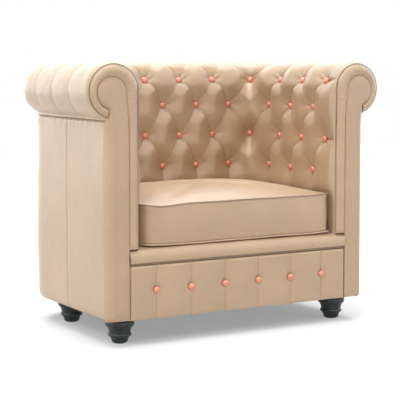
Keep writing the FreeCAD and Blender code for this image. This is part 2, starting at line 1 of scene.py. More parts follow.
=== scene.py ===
"""Upholstered tub armchair: leather, piping, buttons and stage over the CAD frame.

Shapes are worked out in millimetres in the row frame and written to meshes in metres.
A wall of the chair is described by a distance s along its padded inner line, from the
front of one arm round the back to the front of the other, and a section in (u, z):
u runs inward from the wall's outer face.
"""
import json
import math
import bmesh
import bpy
import numpy as np
from mathutils import Euler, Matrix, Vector, noise


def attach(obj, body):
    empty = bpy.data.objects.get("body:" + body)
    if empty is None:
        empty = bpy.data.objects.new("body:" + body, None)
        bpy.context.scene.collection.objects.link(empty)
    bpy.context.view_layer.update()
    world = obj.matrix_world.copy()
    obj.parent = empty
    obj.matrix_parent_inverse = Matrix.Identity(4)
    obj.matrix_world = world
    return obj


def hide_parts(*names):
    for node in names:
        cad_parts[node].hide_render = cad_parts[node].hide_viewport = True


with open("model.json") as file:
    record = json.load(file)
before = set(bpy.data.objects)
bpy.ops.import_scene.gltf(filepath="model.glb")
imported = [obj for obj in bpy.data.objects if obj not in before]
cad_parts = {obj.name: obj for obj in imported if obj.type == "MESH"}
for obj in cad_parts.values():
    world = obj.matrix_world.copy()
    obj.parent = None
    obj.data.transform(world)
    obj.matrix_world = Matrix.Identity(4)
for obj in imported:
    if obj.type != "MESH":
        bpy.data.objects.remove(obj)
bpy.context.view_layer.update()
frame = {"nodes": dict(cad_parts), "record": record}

MM = 0.001

# Body
HALF_WIDTH = 397.0
FRONT_Y = -278.0
BACK_Y = 252.0
BASE_Z = 66.0
TOP_Z = 720.0
CORNER_R = 120.0
ARM_WALL = 92.5
BACK_WALL = 99.5
ROLL_TALL = 70.0                                  # half height of the roll
JOINT_Z = 576.0
DECK_Z = 248.0
ARM_OVERHANG = 50.0
BACK_OVERHANG = 38.0

# The padded inner line
ARM_RUN = 410.0
CORNER_RUN = 44.0
BACK_RUN = 554.0
HALF_LINE = ARM_RUN + CORNER_RUN + BACK_RUN / 2

# Tufting
ROWS_V = [517.0, 427.0, 349.0, 260.0, 170.0]     # height along the wall of rows 0 to 4
ROLL_V = 402.0                                   # where the flat wall turns into the roll
END_V = 711.0                                    # where the roll meets its tail at the outside
TAIL_V = 12.0                                    # the short drop from the roll to the outside panel
BRIDGE_V = ROLL_V + 100.0                        # where the stretch across the corner has faded out
COLUMNS_S = [0.0, 61.0, 118.0, 175.5, 233.0, 290.0, 347.0, 432.0, 503.0, 560.0, 617.0, 674.0, 731.0]
SUB = 20                                         # mesh cells per half column and per row
PUFF = 11.0                                      # height of a lobe over its pleats
RISE = 12.5                                      # rise of the hide away from the buttons
SINK = 13.5                                      # depth of the hide under a button
SEAT_UP = 3.2                                    # how far a button sits over the deepest hide
DIMPLE = 30.0                                    # reach of the hollow round a button
BUTTON_HOLD = 40.0                               # reach within which a button holds the hide to the wall
CORNER_MID = ARM_RUN + CORNER_RUN / 2
BRIDGE_HALF = 75.0                               # reach of the stretched hide each side of the corner
PLEAT_BOW = 12.0
PRESSED_IN = 3.0                                 # how far the cushion presses the hide in below the buttons
ROW_STEP = 88.0
TURN_I = 17.0                                    # the corner button column where the pleats change hand
ROLL_SEAMS = [COLUMNS_S[k] + 10.0 for k in (2, 4, 6, 8, 10)]
ROLL_SEAMS += [2 * HALF_LINE - seam for seam in ROLL_SEAMS] + [HALF_LINE]
BUTTON_R = 9.2


# Mesh helpers -----------------------------------------------------------

def make_mesh(name, verts, faces, material, body, nodes=()):
    """One object from millimetre points, riding on a CAD body; coincident points are merged."""
    mesh = bpy.data.meshes.new(name)
    points = np.asarray(verts, float) * MM
    mesh.from_pydata(points.tolist(), [], [tuple(int(i) for i in f) for f in faces])
    work = bmesh.new()
    work.from_mesh(mesh)
    bmesh.ops.remove_doubles(work, verts=work.verts, dist=0.00002)
    work.to_mesh(mesh)
    work.free()
    mesh.materials.append(material)
    mesh.polygons.foreach_set("use_smooth", [True] * len(mesh.polygons))
    mesh.validate()
    mesh.update()
    obj = bpy.data.objects.new(name, mesh)
    bpy.context.scene.collection.objects.link(obj)
    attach(obj, body)
    if nodes:
        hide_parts(*nodes)
    return obj


def grid_faces(rows, cols, closed=False, flip=False):
    """Quads of a rows x cols point grid; closed joins the last column to the first."""
    faces = []
    span = cols if closed else cols - 1
    for r in range(rows - 1):
        for c in range(span):
            d = (c + 1) % cols
            quad = (r * cols + c, r * cols + d, (r + 1) * cols + d, (r + 1) * cols + c)
            faces.append(quad[::-1] if flip else quad)
    return faces


def tube(points, radius, sides=10, closed=False):
    """Round tube along millimetre points, with flat caps where it is open."""
    path = [Vector(p) for p in points]
    count = len(path)
    verts = []
    normal = None
    for k, p in enumerate(path):
        before = path[k - 1] if (k > 0 or closed) else p
        after = path[(k + 1) % count] if (k + 1 < count or closed) else p
        along = (after - before).normalized()
        if normal is None:
            helper = Vector((0, 0, 1)) if abs(along.z) < 0.9 else Vector((1, 0, 0))
            normal = along.cross(helper).normalized()
        normal = (normal - along * normal.dot(along)).normalized()
        side = along.cross(normal)
        for j in range(sides):
            a = 2 * math.pi * j / sides
            verts.append(p + (normal * math.cos(a) + side * math.sin(a)) * radius)
    rows = count + 1 if closed else count
    faces = []
    for r in range(rows - 1):
        for j in range(sides):
            e = (j + 1) % sides
            low, high = r * sides, ((r + 1) % count) * sides
            faces.append((low + j, low + e, high + e, high + j))
    if not closed:
        faces.append(tuple(reversed(range(sides))))
        faces.append(tuple((count - 1) * sides + j for j in range(sides)))
    return [tuple(v) for v in verts], faces


def joined(parts):
    """Several (verts, faces) lists as one."""
    verts, faces = [], []
    for part_verts, part_faces in parts:
        base = len(verts)
        verts += [tuple(v) for v in part_verts]
        faces += [tuple(i + base for i in f) for f in part_faces]
    return verts, faces


def flipped_x(verts, faces):
    return [(-x, y, z) for x, y, z in verts], [tuple(reversed(f)) for f in faces]


def smoothstep(x, low, high):
    t = np.clip((x - low) / (high - low), 0.0, 1.0)
    return t * t * (3 - 2 * t)


def wobble(x, y, z, size, seed=0.0):
    return noise.noise(Vector((x / size + seed, y / size - seed, z / size + 2 * seed)))


# Materials --------------------------------------------------------------

class Nodes:
    """Small wrapper to keep node building short."""

    def __init__(self, name):
        self.material = bpy.data.materials.new(name)
        self.material.use_nodes = True
        self.tree = self.material.node_tree
        self.shader = self.tree.nodes["Principled BSDF"]
        coords = self.tree.nodes.new("ShaderNodeTexCoord")
        self.place = coords.outputs["Object"]

    def add(self, kind, inputs=(), **settings):
        node = self.tree.nodes.new(kind)
        for key, value in settings.items():
            setattr(node, key, value)
        for key, value in dict(inputs).items():
            self.put(node, key, value)
        return node

    def put(self, node, key, value):
        if isinstance(value, bpy.types.NodeSocket):
            self.tree.links.new(value, node.inputs[key])
        else:
            node.inputs[key].default_value = value

    def noise(self, scale, detail=4.0, rough=0.55):
        return self.add("ShaderNodeTexNoise", {
            "Vector": self.place, "Scale": scale, "Detail": detail, "Roughness": rough})

    def ramp(self, value, low, high, low_color, high_color):
        node = self.add("ShaderNodeValToRGB", {"Fac": value})
        node.color_ramp.elements[0].position = low
        node.color_ramp.elements[1].position = high
        node.color_ramp.elements[0].color = (*low_color, 1.0)
        node.color_ramp.elements[1].color = (*high_color, 1.0)
        return node

    def bump(self, height, strength, distance, below=None):
        inputs = {"Height": height, "Strength": strength, "Distance": distance}
        if below is not None:
            inputs["Normal"] = below
        return self.add("ShaderNodeBump", inputs).outputs["Normal"]


def shade(color, amount):
    return tuple(min(1.0, c * amount) for c in color)


def leather(name, color, rough=0.37, grain=0.32, coat=0.25, sheen=0.12, edge_highlight=0.06):
    """Pigmented hide: pebbled grain, creases and uneven dye; painted shade darkens and warms its hollows
    and a painted highlight lightens its raised edges.
    """
    n = Nodes(name)
    patch = n.noise(7.0, 3.0)
    tone = n.ramp(patch.outputs["Fac"], 0.3, 0.72, shade(color, 0.93), shade(color, 1.05))
    speck = n.noise(420.0, 2.0)
    fleck = n.ramp(speck.outputs["Fac"], 0.35, 0.7, (0.93, 0.93, 0.93), (1.0, 1.0, 1.0))
    dyed = n.add("ShaderNodeMix", {0: 1.0, 6: tone.outputs["Color"], 7: fleck.outputs["Color"]},
                 data_type="RGBA", blend_type="MULTIPLY")
    # Painted shade and painted highlight from surface curvature: hollows, creases and button dimples are
    # coloured darker and warmer, raised edges lighter.
    edge = n.add("ShaderNodeNewGeometry").outputs["Pointiness"]
    crease_shade_edge_highlight = n.ramp(edge, 0.47, 0.56, (0.86, 0.80, 0.74), (1.0 + edge_highlight, 1.0 + edge_highlight, 1.0 + edge_highlight))
    final = n.add("ShaderNodeMix", {0: 0.8, 6: dyed.outputs[2], 7: crease_shade_edge_highlight.outputs["Color"]},
                  data_type="RGBA", blend_type="MULTIPLY")
    n.put(n.shader, "Base Color", final.outputs[2])
    pebble = n.add("ShaderNodeTexVoronoi", {"Vector": n.place, "Scale": 560.0, "Randomness": 0.9},
                   feature="SMOOTH_F1")
    fine = n.bump(pebble.outputs["Distance"], grain, 0.0009)
    crease = n.noise(64.0, 6.0, 0.62)
    soft = n.bump(crease.outputs["Fac"], 0.10, 0.004, fine)
    n.put(n.shader, "Normal", soft)
    rub = n.noise(24.0, 3.0)
    gloss = n.add("ShaderNodeMapRange", {
        "Value": rub.outputs["Fac"], "From Min": 0.3, "From Max": 0.7,
        "To Min": rough - 0.05, "To Max": rough + 0.07})
    n.put(n.shader, "Roughness", gloss.outputs["Result"])
    n.shader.inputs["Sheen Weight"].default_value = sheen
    n.shader.inputs["Sheen Roughness"].default_value = 0.45
    n.shader.inputs["Coat Weight"].default_value = coat
    n.shader.inputs["Coat Roughness"].default_value = 0.30
    return n.material


def lacquer(name, color):
    """Dark lacquer over turned wood, with faint grain and rubbed high spots."""
    n = Nodes(name)
    stretch = n.add("ShaderNodeMapping", {"Vector": n.place, "Scale": (1.0, 1.0, 0.12)})
    grain = n.add("ShaderNodeTexNoise", {
        "Vector": stretch.outputs["Vector"], "Scale": 160.0, "Detail": 5.0})
    tone = n.ramp(grain.outputs["Fac"], 0.35, 0.7, shade(color, 0.75), shade(color, 1.5))
    n.put(n.shader, "Base Color", tone.outputs["Color"])
    n.put(n.shader, "Normal", n.bump(grain.outputs["Fac"], 0.12, 0.0006))
    smear = n.noise(45.0, 3.0)
    gloss = n.add("ShaderNodeMapRange", {
        "Value": smear.outputs["Fac"], "From Min": 0.3, "From Max": 0.7, "To Min": 0.34, "To Max": 0.48})
    n.put(n.shader, "Roughness", gloss.outputs["Result"])
    n.shader.inputs["Specular IOR Level"].default_value = 0.3
    n.shader.inputs["Coat Weight"].default_value = 0.08
    n.shader.inputs["Coat Roughness"].default_value = 0.2
    return n.material


def timber(name, color):
    n = Nodes(name)
    stretch = n.add("ShaderNodeMapping", {"Vector": n.place, "Scale": (0.35, 2.2, 2.2)})
    grain = n.add("ShaderNodeTexNoise", {
        "Vector": stretch.outputs["Vector"], "Scale": 40.0, "Detail": 6.0})
    tone = n.ramp(grain.outputs["Fac"], 0.3, 0.7, shade(color, 0.7), color)
    n.put(n.shader, "Base Color", tone.outputs["Color"])
    n.put(n.shader, "Normal", n.bump(grain.outputs["Fac"], 0.25, 0.0008))
    n.shader.inputs["Roughness"].default_value = 0.7
    return n.material


def metal(name, color, rough=0.3):
    n = Nodes(name)
    scratch = n.noise(260.0, 4.0)
    tone = n.ramp(scratch.outputs["Fac"], 0.3, 0.7, shade(color, 0.8), color)
    n.put(n.shader, "Base Color", tone.outputs["Color"])
    gloss = n.add("ShaderNodeMapRange", {
        "Value": scratch.outputs["Fac"], "To Min": rough - 0.08, "To Max": rough + 0.12})
    n.put(n.shader, "Roughness", gloss.outputs["Result"])
    n.shader.inputs["Metallic"].default_value = 1.0
    return n.material


def cloth(name, color, threads=900.0):
    """Plain woven cloth: two crossed thread waves."""
    n = Nodes(name)
    warp = n.add("ShaderNodeTexWave", {"Vector": n.place, "Scale": threads, "Distortion": 0.6},
                 bands_direction="X")
    weft = n.add("ShaderNodeTexWave", {"Vector": n.place, "Scale": threads, "Distortion": 0.6},
                 bands_direction="Y")
    both = n.add("ShaderNodeMix", {0: 0.5, 6: warp.outputs["Color"], 7: weft.outputs["Color"]},
                 data_type="RGBA")
    fuzz = n.noise(60.0, 4.0)
    tone = n.ramp(fuzz.outputs["Fac"], 0.3, 0.7, shade(color, 0.8), color)
    n.put(n.shader, "Base Color", tone.outputs["Color"])
    n.put(n.shader, "Normal", n.bump(both.outputs[2], 0.4, 0.0005))
    n.shader.inputs["Roughness"].default_value = 0.9
    n.shader.inputs["Sheen Weight"].default_value = 0.2
    return n.material


HIDE = (0.525, 0.37, 0.236)
MATERIALS = {
    "leather": leather("cream_leather", HIDE),
    "dark_trim": leather("brown_piping_leather", (0.25, 0.165, 0.11), rough=0.38, grain=0.15, sheen=0.0),
    "button_leather": leather("salmon_button_leather", (0.76, 0.26, 0.15),
                              rough=0.22, grain=0.08, coat=0.6),
    "black_wood": lacquer("black_lacquer", (0.018, 0.022, 0.022)),
    "timber": timber("sawn_timber", (0.50, 0.33, 0.17)),
    "steel": metal("spring_steel", (0.45, 0.45, 0.46)),
    "zip_metal": metal("zip_brass", (0.45, 0.30, 0.11), 0.28),
    "glide_plastic": lacquer("glide_nylon", (0.02, 0.02, 0.02)),
    "black_lining": cloth("black_lining", (0.02, 0.02, 0.022)),
    "plain_cloth": cloth("plain_cloth", (0.62, 0.56, 0.45)),
}
LEATHER = MATERIALS["leather"]
TRIM = MATERIALS["dark_trim"]
BUTTON_LEATHER = MATERIALS["button_leather"]


def finish_cad_nodes():
    slots = {p["node"]: p["material_slot"] for p in frame["record"]["subparts"]}
    for node, obj in frame["nodes"].items():
        obj.data.materials.clear()
        obj.data.materials.append(MATERIALS[slots[node]])


# Wall geometry ----------------------------------------------------------

def wall_place(s):
    """Plan point of the outer face, inward direction, roll overhang and thickness at distance s."""
    side = 1.0
    if s > HALF_LINE:
        s = 2 * HALF_LINE - s
        side = -1.0
    taper = min(1.0, s / ARM_RUN)
    thicker = float(smoothstep(s, ARM_RUN - 30.0, ARM_RUN + CORNER_RUN))
    wall = ARM_WALL + (BACK_WALL - ARM_WALL) * thicker
    if s <= ARM_RUN:
        x, y, nx, ny = -HALF_WIDTH, FRONT_Y + s, 1.0, 0.0
    elif s <= ARM_RUN + CORNER_RUN:
        a = (s - ARM_RUN) / CORNER_RUN * math.pi / 2
        x = -(HALF_WIDTH - CORNER_R) - CORNER_R * math.cos(a)
        y = BACK_Y - CORNER_R + CORNER_R * math.sin(a)
        nx, ny = math.cos(a), -math.sin(a)
    else:
        x, y, nx, ny = -(HALF_WIDTH - CORNER_R) + (s - ARM_RUN - CORNER_RUN), BACK_Y, 0.0, -1.0
    overhang = ARM_OVERHANG + (BACK_OVERHANG - ARM_OVERHANG) * taper
    return x * side, y, nx * side, ny, overhang, wall


def wall_point(s, v, lift):
    """Surface point at distance s, profile distance v, lifted off along the section's normal."""
    x, y, nx, ny, overhang, wall = wall_place(s)
    wide = (wall + overhang) / 2
    cu, cz = wall - wide, TOP_Z - ROLL_TALL
    if v <= ROLL_V:
        u, z = wall + lift, DECK_Z + v * (cz - DECK_Z) / ROLL_V
    elif v > END_V:
        low = cz - ROLL_TALL * math.sqrt(1 - (cu / wide) ** 2)
        down = min(1.0, (v - END_V) / TAIL_V)
        u = -lift + 5.0 * max(0.0, (v - END_V) / TAIL_V - 1.0)
        z = low + (JOINT_Z + 1.0 - low) * down
    else:
        end = math.pi + math.acos(cu / wide)
        a = end * (v - ROLL_V) / (END_V - ROLL_V)
        u = cu + (wide + lift) * math.cos(a)
        z = cz + (ROLL_TALL + lift) * math.sin(a)
    return x + u * nx, y + u * ny, z


def bridged(point, s, v, lift, share):
    """Move a point of a rear corner towards the wider curve that the stretched hide takes across it."""
    start = CORNER_MID - BRIDGE_HALF
    t = (min(s, 2 * HALF_LINE - s) - start) / (2 * BRIDGE_HALF)
    if not 0.0 < t < 1.0 or v > BRIDGE_V:
        return point
    share *= 1 - float(smoothstep(v, ROLL_V, BRIDGE_V))
    first, last = wall_point(start, v, lift), wall_point(start + 2 * BRIDGE_HALF, v, lift)
    a, b, c = (1 - t) ** 2, 2 * t * (1 - t), t * t
    x = (a + b) * first[0] + c * last[0]
    y = a * first[1] + (b + c) * last[1]
    if s > HALF_LINE:
        x = -x
    return (point[0] + (x - point[0]) * share, point[1] + (y - point[1]) * share, point[2])


def column_s(i):
    """Distance along the wall of half column i, 0 to 24."""
    if i > 12:
        return 2 * HALF_LINE - column_s(24 - i)
    k = min(int(i), 11)
    return COLUMNS_S[k] + (COLUMNS_S[k + 1] - COLUMNS_S[k]) * (i - k)


def row_v(j):
    """Profile distance of row j: 0 on top of the roll, 4 the lowest buttons."""
    if j < 0:
        return ROWS_V[0] + (END_V - ROWS_V[0]) * (-j) / 2.0
    if j > 4:
        return ROWS_V[4] * (1 - (j - 4) / 2.0)
    k = min(int(j), 3)
    return ROWS_V[k] + (ROWS_V[k + 1] - ROWS_V[k]) * (j - k)


def pleat_shape(i, j):
    """Height share of the puffs at (i, j), and the upward bow of the tucked pleats.

    Every pleat that runs down towards the right corner is tucked: it rises sharply on the
    lobe below it and slowly above it, but evenly in the corner itself. The pleats that cross
    them are shallow.
    """
    hand = 1.0 if i <= TURN_I else -1.0
    across = ((hand * i - j) / 2.0) % 1.0
    along = math.sin(math.pi * (hand * i + j) / 2.0) ** 2
    tucked = 1.06 * (1 - math.exp(-across / 0.17)) * (1 - math.exp(-(1 - across) / 0.055))
    even = 1.03 * (1 - math.exp(-across / 0.13)) * (1 - math.exp(-(1 - across) / 0.13))
    away = float(smoothstep(abs(i - TURN_I), 0.0, 1.6))
    shallow = 0.66 + 0.34 * along ** 0.4
    bow = PLEAT_BOW * away * along * (1 - 0.6 * math.sin(math.pi * across) ** 2)
    return (tucked * away + even * (1 - away)) * shallow, bow


def nearest_button(i, j):
    """Offset along the wall and down it, in millimetres, from the nearest button."""
    s = column_s(i)
    best = (900.0, 900.0)
    for a in (round(i) - 1, round(i), round(i) + 1):
        for b in (round(j) - 1, round(j), round(j) + 1):
            if 1 <= b <= 4 and 1 <= a <= 23 and (a + b) % 2 == 0:
                offset = (s - column_s(a), (j - b) * ROW_STEP)
                if math.hypot(*offset) < math.hypot(*best):
                    best = offset
    return best


def tuft_height(i, j):
    """Lift of the leather at lattice place (i, j), and how far its pleats bow upward."""
    s = column_s(i)
    edge = min(s, 2 * HALF_LINE - s)
    puff, bow = pleat_shape(min(max(i, 1.0), 23.0), min(max(j, 0.0), 4.0))
    ds, dv = nearest_button(i, j)
    near = math.hypot(ds, dv)
    rise = 1 - math.exp(-((near / DIMPLE) ** 1.4))
    above = 1.7 if j < 1 else 0.7
    crimp = above * math.cos(6 * math.atan2(ds, -dv)) * math.exp(-(((near - 17.0) / 10.0) ** 2))
    calm = 1.0
    if j < 0:
        calm = 0.16 + 0.24 * float(smoothstep(j, -0.9, 0.0))
    elif j < 1:
        calm = 0.40 + 0.60 * float(smoothstep(j, 0.0, 1.0))
        bow *= float(smoothstep(j, 0.2, 1.0))
    lift = calm * (PUFF * puff * (0.25 + 0.75 * rise) + RISE * rise - SINK) + crimp
    if i < 1 or i > 23:
        row = 1 if j < 2 else 3
        lift -= 3.2 * math.exp(-abs(j - row) * ROW_STEP / 3.5)
    if j < 0:
        gap = min(abs(s - seam) for seam in ROLL_SEAMS)
        shown = float(smoothstep(-j, 0.15, 0.5)) * float(smoothstep(2.0 + j, 0.0, 0.5))
        lift -= shown * (1.9 * math.exp(-gap / 1.6) - 0.4 * (1 - math.exp(-gap / 16.0)))
    pressed = float(smoothstep(j, 4.3, 5.0))
    lift = lift * (1 - pressed) - PRESSED_IN * pressed
    lift = lift * float(smoothstep(edge, 0.0, 20.0)) - 5.0 * (1 - float(smoothstep(edge, 0.0, 7.0)))
    return lift, bow if 0 < j < 4 else 0.0


def boundary_i(j):
    """The zigzag pleat at a rear corner where two hides meet, as a half column."""
    if j <= 0 or j >= 4:
        return 8.0
    k = int(j)
    return 8.0 - (j - k) if k % 2 == 0 else 7.0 + (j - k)


def build_tufted():
    """Three hides cover the inside walls and the roll: two arms and the back."""
    tail = TAIL_V / (END_V - ROWS_V[0]) * 2.0
    js = [-2.0 - tail * k for k in (2.0, 1.3, 1.0, 0.6, 0.3)]
    js += list(np.linspace(-2.0, 0.0, 2 * SUB + 1)) + list(np.linspace(0.0, 4.0, 4 * SUB + 1))[1:]
    js += list(np.linspace(4.0, 6.05, 22))[1:]
    cols = 24 * SUB + 1
    verts = []
    lattice = []
    for j in js:
        for c in range(cols):
            i = c / SUB
            s = column_s(i)
            lift, bow = tuft_height(i, j)
            v = row_v(j) + bow
            share = 1 - math.exp(-((math.hypot(*nearest_button(i, j)) / BUTTON_HOLD) ** 2))
            x, y, z = bridged(wall_point(s, v, lift), s, v, lift, share)
            x0, y0, z0 = bridged(wall_point(s, v, lift + 1.0), s, v, lift + 1.0, share)
            n = wobble(x, y, z, 34.0, 3.1) * 0.9 + wobble(x, y, z, 11.0, 7.7) * 0.25
            verts.append((x + (x0 - x) * n, y + (y0 - y) * n, z + (z0 - z) * n))
            lattice.append((i, j))
    rows = len(js)
    groups = {"inside_hide_right": [], "inside_hide_back": [], "inside_hide_left": []}
    for r in range(rows - 1):
        for c in range(cols - 1):
            a, b = r * cols + c, r * cols + c + 1
            d, e = (r + 1) * cols + c + 1, (r + 1) * cols + c
            ci, cj = (c + 0.5) / SUB, (js[r] + js[r + 1]) / 2
            if 0 < cj < 4 and (int(ci) + int(cj)) % 2 == 0:
                tris = [(a, b, d), (a, d, e)]
            elif 0 < cj < 4:
                tris = [(a, b, e), (b, d, e)]
            else:
                tris = [(a, b, d, e)]
            for f in tris:
                mi = sum(lattice[k][0] for k in f) / len(f)
                mj = sum(lattice[k][1] for k in f) / len(f)
                limit = boundary_i(mj)
                if mi < limit:
                    groups["inside_hide_right"].append(f)
                elif mi > 24 - limit:
                    groups["inside_hide_left"].append(f)
                else:
                    groups["inside_hide_back"].append(f)
    covered = {
        "inside_hide_right": ["tufted_pad_arm_right", "roll_arm_right", "roll_corner_right"],
        "inside_hide_left": ["tufted_pad_arm_left", "roll_arm_left", "roll_corner_left"],
        "inside_hide_back": ["tufted_pad_back", "roll_back"],
    }
    for name, faces in groups.items():
        used = sorted({k for f in faces for k in f})
        index = {k: m for m, k in enumerate(used)}
        local = [tuple(index[k] for k in reversed(f)) for f in faces]
        obj = make_mesh(name, [verts[k] for k in used], local, LEATHER, "chair", covered[name])


def dome(centre, normal, radius=BUTTON_R, tall=7.5):
    """Covered button: flared rim with a faint crimp, domed face."""
    axis = Vector(normal).normalized()
    side = axis.orthogonal().normalized()
    other = axis.cross(side)
    profile = [(0.80, -0.35), (0.97, -0.1), (1.0, 0.15), (0.97, 0.38), (0.88, 0.60),
               (0.72, 0.79), (0.50, 0.93), (0.25, 0.99)]
    segments = 24
    verts = []
    for r, h in profile:
        for k in range(segments):
            a = 2 * math.pi * k / segments
            crimp = 1.0 + (0.02 * math.cos(9 * a) if h < 0.5 else 0.0)
            out = (side * math.cos(a) + other * math.sin(a)) * radius * r * crimp
            verts.append(tuple(Vector(centre) + out + axis * tall * h))
    faces = grid_faces(len(profile), segments, closed=True)
    verts.append(tuple(Vector(centre) + axis * tall))
    top = len(verts) - 1
    base = (len(profile) - 1) * segments
    faces += [(base + k, base + (k + 1) % segments, top) for k in range(segments)]
    return verts, faces


def build_buttons():
    groups = {"buttons_arm_right": [], "buttons_back": [], "buttons_arm_left": []}
    for j in (1, 2, 3, 4):
        for i in range(1, 24):
            if (i + j) % 2:
                continue
            s = column_s(i)
            p = Vector(wall_point(s, row_v(j), SEAT_UP - SINK))
            q = Vector(wall_point(s, row_v(j), 0.0))
            name = "buttons_arm_right" if i <= 7 else "buttons_arm_left" if i >= 17 else "buttons_back"
            groups[name].append(dome(p, q - p))
    for name, parts in groups.items():
        verts, faces = joined(parts)
        make_mesh("domed_" + name, verts, faces, BUTTON_LEATHER, "chair", [name])


# Front of the arms ------------------------------------------------------

HEAD_U = 14.0                                    # the keyhole panel: its round head and its shaft
HEAD_Z = 646.0
HEAD_R = 41.0
SHAFT_IN = 61.0
SHAFT_MID = 30.5
SHOULDER_Z = 560.0                               # where the shaft widens into the head
NECK_Z = 606.8                                   # where the head meets the neck under the roll
BAND_END_Z = 578.0                               # the tip of the band under the roll
WRAP_ANGLE = math.radians(253.0)                 # how far the band runs round the roll
BAND_U = 20.0                                    # the band round the roll
BAND_Z = 650.0
BAND_R = 67.0
PIPING_R = 69.0
GROOVE = 5.0                                     # how far out the groove between band and panel lies
FACING_PUFF = 11.5
GATHERED = (62, 118)                             # band sections with small gathers, top to inner side


def section_point(u, z, y):
    return (-HALF_WIDTH + u, y, z)


def band_rails():
    """Matching outer and inner points of the padded band, from its tip over the head and down."""
    outer, inner = [], []
    for t in np.linspace(0, 1, 8)[:-1]:
        outer.append((1.0 - t, BAND_END_Z + 8.0 * t))
        inner.append((1.5 + 0.5 * t, BAND_END_Z + 1.0 + (NECK_Z - BAND_END_Z - 1.0) * t))
    for a in np.linspace(WRAP_ANGLE, 0.0, 90)[:-1]:
        outer.append((BAND_U + BAND_R * math.cos(a), BAND_Z + BAND_R * math.sin(a)))
        inner.append((HEAD_U + HEAD_R * math.cos(a), HEAD_Z + HEAD_R * math.sin(a)))
    for t in np.linspace(0, 1, 110):
        outer.append((BAND_U + BAND_R, BAND_Z + (DECK_Z - BAND_Z) * t))
        z = HEAD_Z + (DECK_Z - HEAD_Z) * t
        blend = float(smoothstep(z, SHOULDER_Z, HEAD_Z))
        inner.append((SHAFT_IN + (HEAD_U + HEAD_R - SHAFT_IN) * blend, z))
    return outer, inner


def build_band(side_name, mirror):
    outer, inner = band_rails()
    across = 17
    verts = []
    for k, (o, i) in enumerate(zip(outer, inner)):
        width = math.hypot(o[0] - i[0], o[1] - i[1])
        full = FACING_PUFF * min(1.0, width / 30.0) ** 0.7
        travel = k + (math.dist(outer[k - 1], outer[k]) if k else 0.0)
        gather = 0.0
        if GATHERED[0] < k < GATHERED[1]:
            swell = math.sin(math.pi * (k - GATHERED[0]) / (GATHERED[1] - GATHERED[0]))
            gather = 0.8 * math.sin(k * 2.1 + 0.6 * math.sin(k * 0.7)) * swell
        for c in range(across):
            w = c / (across - 1)
            u = o[0] + (i[0] - o[0]) * w
            z = o[1] + (i[1] - o[1]) * w
            arch = max(0.0, math.sin(math.pi * w ** 1.15)) ** 0.72
            dip = wobble(u, z, travel, 40.0, 1.7) * 0.8
            base = 0.6 + (GROOVE - 0.6) * w * min(1.0, width / 30.0)
            y = FRONT_Y - base - (full - base) * arch - (gather + dip) * arch
            foot = float(smoothstep(z, DECK_Z, DECK_Z + 12.0)) if o[1] < 400 else 1.0
            y += (1 - foot) * 6.0 * arch
            verts.append(section_point(u, z, y))
    faces = grid_faces(len(outer), across)
    if mirror:
        verts, faces = flipped_x(verts, faces)
    obj = make_mesh("facing_band_" + side_name + "_padded", verts, faces, LEATHER, "chair",
                    ["facing_band_" + side_name])


def panel_outline():
    """Keyhole outline with matching spine points and edge depth behind the front plane."""
    points = []
    foot_z = BASE_Z + 32.0
    head_reach = HEAD_U + HEAD_R

    def spine(z):
        if z >= HEAD_Z:
            return HEAD_U, HEAD_Z
        t = float(smoothstep(z, 540.0, HEAD_Z))
        return SHAFT_MID + (HEAD_U - SHAFT_MID) * t, z

    for u in np.linspace(0.0, SHAFT_IN, 13)[:-1]:
        edge = 14.0 * (1 - u / SHAFT_IN) ** 4
        points.append(((u, BASE_Z), (SHAFT_MID, foot_z), edge))
    for z in np.linspace(BASE_Z, SHOULDER_Z, 90)[:-1]:
        points.append(((SHAFT_IN, z), spine(max(z, foot_z)), 0.0))
    for z in np.linspace(SHOULDER_Z, HEAD_Z, 22)[:-1]:
        t = float(smoothstep(z, SHOULDER_Z, HEAD_Z))
        points.append(((SHAFT_IN + (head_reach - SHAFT_IN) * t, z), spine(z), 0.0))
    for a in np.linspace(0.0, WRAP_ANGLE, 70)[:-1]:
        p = (HEAD_U + HEAD_R * math.cos(a), HEAD_Z + HEAD_R * math.sin(a))
        points.append((p, spine(HEAD_Z if a <= math.pi else p[1]), 0.0))
    for z in np.linspace(NECK_Z, BAND_END_Z, 8)[:-1]:
        t = (z - BAND_END_Z) / (NECK_Z - BAND_END_Z)
        points.append(((2.0 * t, z), spine(z), 8.0 * (1 - t)))
    for z in np.linspace(BAND_END_Z, BASE_Z, 92)[:-1]:
        edge = 8.0 + 6.0 * float(smoothstep(BAND_END_Z - z, 0, 25))
        points.append(((0.0, z), spine(max(z, foot_z)), edge))
    return points


def build_facing_panel(side_name, mirror):
    points = panel_outline()
    rings = [1.0, 0.985, 0.96, 0.93, 0.89, 0.84, 0.78, 0.70, 0.58, 0.42, 0.22, 0.0]
    verts = []
    for r in rings:
        for (u, z), (su, sz), edge in points:
            pu, pz = su + (u - su) * r, sz + (z - sz) * r
            base = GROOVE if edge == 0.0 else 0.0
            depth = FACING_PUFF + edge - base
            y = FRONT_Y + edge - base - depth * (1 - r ** 4) ** 0.85
            y -= wobble(pu, pz, 0.0, 60.0, 4.2) * 0.8 * (1 - r)
            verts.append(section_point(pu, pz, y))
    faces = grid_faces(len(rings), len(points), closed=True, flip=True)
    if mirror:
        verts, faces = flipped_x(verts, faces)
    obj = make_mesh("facing_panel_" + side_name + "_padded", verts, faces, LEATHER, "chair",
                    ["facing_panel_" + side_name])


